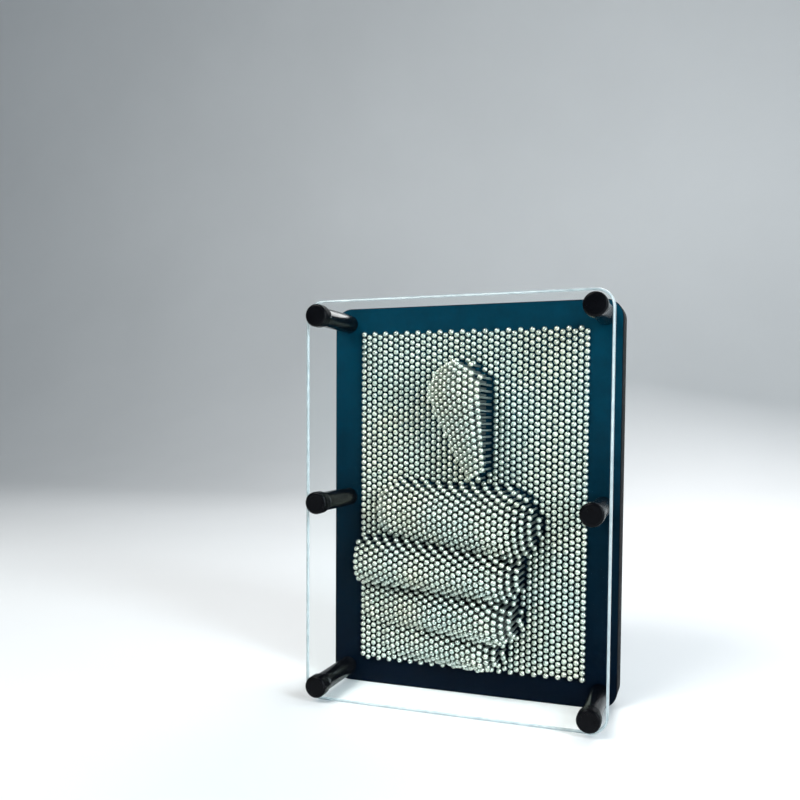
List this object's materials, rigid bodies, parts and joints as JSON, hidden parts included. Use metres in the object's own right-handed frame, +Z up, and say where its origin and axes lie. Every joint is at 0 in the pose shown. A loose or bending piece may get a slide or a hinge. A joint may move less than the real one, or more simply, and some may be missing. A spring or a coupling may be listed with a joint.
{
  "type": "pin art impression toy",
  "caption": "Upright desk toy: a clear window on spacer posts in front of a dark perforated frame whose field of sliding dome-headed pins keeps the relief of a hand pressed in from behind.",
  "frame": {"origin": "middle of the toy's bounding box in plan, on the surface that the window and the frame stand on", "axes": "+Z up, +X to the right of someone facing the window, front and window towards -Y"},
  "size_m": [0.135, 0.0852, 0.18],
  "materials": {
    "clear_acrylic": "gloss",
    "dark_board": "satin",
    "black_plastic": "satin",
    "bright_steel": "polished",
    "nickel_pins": "gloss"
  },
  "bodies": {
    "frame": {"frame_rim": "black_plastic", "front_cap_bottom_left": "black_plastic", "front_cap_bottom_right": "black_plastic", "front_cap_middle_left": "black_plastic", "front_cap_middle_right": "black_plastic", "front_cap_top_left": "black_plastic", "front_cap_top_right": "black_plastic", "front_pin_board": "dark_board", "front_window": "clear_acrylic", "rear_cap_bottom_left": "black_plastic", "rear_cap_bottom_right": "black_plastic", "rear_cap_middle_left": "black_plastic", "rear_cap_middle_right": "black_plastic", "rear_cap_top_left": "black_plastic", "rear_cap_top_right": "black_plastic", "rear_pin_board": "dark_board", "spacer_post_bottom_left": "black_plastic", "spacer_post_bottom_right": "black_plastic", "spacer_post_middle_left": "black_plastic", "spacer_post_middle_right": "black_plastic", "spacer_post_top_left": "black_plastic", "spacer_post_top_right": "black_plastic", "tie_rod_bottom_left": "bright_steel", "tie_rod_bottom_right": "bright_steel", "tie_rod_middle_left": "bright_steel", "tie_rod_middle_right": "bright_steel", "tie_rod_top_left": "bright_steel", "tie_rod_top_right": "bright_steel"},
    "pin_bank_r1_c1": {"pin_bank_r1_c1": "nickel_pins"},
    "pin_bank_r1_c2": {"pin_bank_r1_c2": "nickel_pins"},
    "pin_bank_r1_c3": {"pin_bank_r1_c3": "nickel_pins"},
    "pin_bank_r1_c4": {"pin_bank_r1_c4": "nickel_pins"},
    "pin_bank_r1_c5": {"pin_bank_r1_c5": "nickel_pins"},
    "pin_bank_r2_c1": {"pin_bank_r2_c1": "nickel_pins"},
    "pin_bank_r2_c2": {"pin_bank_r2_c2": "nickel_pins"},
    "pin_bank_r2_c3": {"pin_bank_r2_c3": "nickel_pins"},
    "pin_bank_r2_c4": {"pin_bank_r2_c4": "nickel_pins"},
    "pin_bank_r2_c5": {"pin_bank_r2_c5": "nickel_pins"},
    "pin_bank_r3_c1": {"pin_bank_r3_c1": "nickel_pins"},
    "pin_bank_r3_c2": {"pin_bank_r3_c2": "nickel_pins"},
    "pin_bank_r3_c3": {"pin_bank_r3_c3": "nickel_pins"},
    "pin_bank_r3_c4": {"pin_bank_r3_c4": "nickel_pins"},
    "pin_bank_r3_c5": {"pin_bank_r3_c5": "nickel_pins"},
    "pin_bank_r4_c1": {"pin_bank_r4_c1": "nickel_pins"},
    "pin_bank_r4_c2": {"pin_bank_r4_c2": "nickel_pins"},
    "pin_bank_r4_c3": {"pin_bank_r4_c3": "nickel_pins"},
    "pin_bank_r4_c4": {"pin_bank_r4_c4": "nickel_pins"},
    "pin_bank_r4_c5": {"pin_bank_r4_c5": "nickel_pins"},
    "pin_bank_r5_c1": {"pin_bank_r5_c1": "nickel_pins"},
    "pin_bank_r5_c2": {"pin_bank_r5_c2": "nickel_pins"},
    "pin_bank_r5_c3": {"pin_bank_r5_c3": "nickel_pins"},
    "pin_bank_r5_c4": {"pin_bank_r5_c4": "nickel_pins"},
    "pin_bank_r5_c5": {"pin_bank_r5_c5": "nickel_pins"},
    "pin_bank_r6_c1": {"pin_bank_r6_c1": "nickel_pins"},
    "pin_bank_r6_c2": {"pin_bank_r6_c2": "nickel_pins"},
    "pin_bank_r6_c3": {"pin_bank_r6_c3": "nickel_pins"},
    "pin_bank_r6_c4": {"pin_bank_r6_c4": "nickel_pins"},
    "pin_bank_r6_c5": {"pin_bank_r6_c5": "nickel_pins"}
  },
  "joints": [
    {"name": "slide_r1_c1", "type": "slide", "parent": "frame", "child": "pin_bank_r1_c1", "axis": [0, -1, 0], "range_m": [0, 0.029]},
    {"name": "slide_r1_c2", "type": "slide", "parent": "frame", "child": "pin_bank_r1_c2", "axis": [0, -1, 0], "range_m": [0, 0.0154]},
    {"name": "slide_r1_c3", "type": "slide", "parent": "frame", "child": "pin_bank_r1_c3", "axis": [0, -1, 0], "range_m": [0, 0.005]},
    {"name": "slide_r1_c4", "type": "slide", "parent": "frame", "child": "pin_bank_r1_c4", "axis": [0, -1, 0], "range_m": [0, 0.029]},
    {"name": "slide_r1_c5", "type": "slide", "parent": "frame", "child": "pin_bank_r1_c5", "axis": [0, -1, 0], "range_m": [0, 0.029]},
    {"name": "slide_r2_c1", "type": "slide", "parent": "frame", "child": "pin_bank_r2_c1", "axis": [0, -1, 0], "range_m": [0, 0.029]},
    {"name": "slide_r2_c2", "type": "slide", "parent": "frame", "child": "pin_bank_r2_c2", "axis": [0, -1, 0], "range_m": [0, 0.0153]},
    {"name": "slide_r2_c3", "type": "slide", "parent": "frame", "child": "pin_bank_r2_c3", "axis": [0, -1, 0], "range_m": [0, 0.005]},
    {"name": "slide_r2_c4", "type": "slide", "parent": "frame", "child": "pin_bank_r2_c4", "axis": [0, -1, 0], "range_m": [0, 0.029]},
    {"name": "slide_r2_c5", "type": "slide", "parent": "frame", "child": "pin_bank_r2_c5", "axis": [0, -1, 0], "range_m": [0, 0.029]},
    {"name": "slide_r3_c1", "type": "slide", "parent": "frame", "child": "pin_bank_r3_c1", "axis": [0, -1, 0], "range_m": [0, 0.0206]},
    {"name": "slide_r3_c2", "type": "slide", "parent": "frame", "child": "pin_bank_r3_c2", "axis": [0, -1, 0], "range_m": [0, 0.0153]},
    {"name": "slide_r3_c3", "type": "slide", "parent": "frame", "child": "pin_bank_r3_c3", "axis": [0, -1, 0], "range_m": [0, 0.0101]},
    {"name": "slide_r3_c4", "type": "slide", "parent": "frame", "child": "pin_bank_r3_c4", "axis": [0, -1, 0], "range_m": [0, 0.0084]},
    {"name": "slide_r3_c5", "type": "slide", "parent": "frame", "child": "pin_bank_r3_c5", "axis": [0, -1, 0], "range_m": [0, 0.029]},
    {"name": "slide_r4_c1", "type": "slide", "parent": "frame", "child": "pin_bank_r4_c1", "axis": [0, -1, 0], "range_m": [0, 0.0156]},
    {"name": "slide_r4_c2", "type": "slide", "parent": "frame", "child": "pin_bank_r4_c2", "axis": [0, -1, 0], "range_m": [-0.0029, 0.0115]},
    {"name": "slide_r4_c3", "type": "slide", "parent": "frame", "child": "pin_bank_r4_c3", "axis": [0, -1, 0], "range_m": [-0.0096, 0.0066]},
    {"name": "slide_r4_c4", "type": "slide", "parent": "frame", "child": "pin_bank_r4_c4", "axis": [0, -1, 0], "range_m": [0, 0.005]},
    {"name": "slide_r4_c5", "type": "slide", "parent": "frame", "child": "pin_bank_r4_c5", "axis": [0, -1, 0], "range_m": [0, 0.0165]},
    {"name": "slide_r5_c1", "type": "slide", "parent": "frame", "child": "pin_bank_r5_c1", "axis": [0, -1, 0], "range_m": [0, 0.0151]},
    {"name": "slide_r5_c2", "type": "slide", "parent": "frame", "child": "pin_bank_r5_c2", "axis": [0, -1, 0], "range_m": [-0.0033, 0.0104]},
    {"name": "slide_r5_c3", "type": "slide", "parent": "frame", "child": "pin_bank_r5_c3", "axis": [0, -1, 0], "range_m": [-0.0102, 0.0057]},
    {"name": "slide_r5_c4", "type": "slide", "parent": "frame", "child": "pin_bank_r5_c4", "axis": [0, -1, 0], "range_m": [0, 0.005]},
    {"name": "slide_r5_c5", "type": "slide", "parent": "frame", "child": "pin_bank_r5_c5", "axis": [0, -1, 0], "range_m": [0, 0.029]},
    {"name": "slide_r6_c1", "type": "slide", "parent": "frame", "child": "pin_bank_r6_c1", "axis": [0, -1, 0], "range_m": [0, 0.0229]},
    {"name": "slide_r6_c2", "type": "slide", "parent": "frame", "child": "pin_bank_r6_c2", "axis": [0, -1, 0], "range_m": [0, 0.0147]},
    {"name": "slide_r6_c3", "type": "slide", "parent": "frame", "child": "pin_bank_r6_c3", "axis": [0, -1, 0], "range_m": [0, 0.0065]},
    {"name": "slide_r6_c4", "type": "slide", "parent": "frame", "child": "pin_bank_r6_c4", "axis": [0, -1, 0], "range_m": [0, 0.0056]},
    {"name": "slide_r6_c5", "type": "slide", "parent": "frame", "child": "pin_bank_r6_c5", "axis": [0, -1, 0], "range_m": [0, 0.029]}
  ]
}
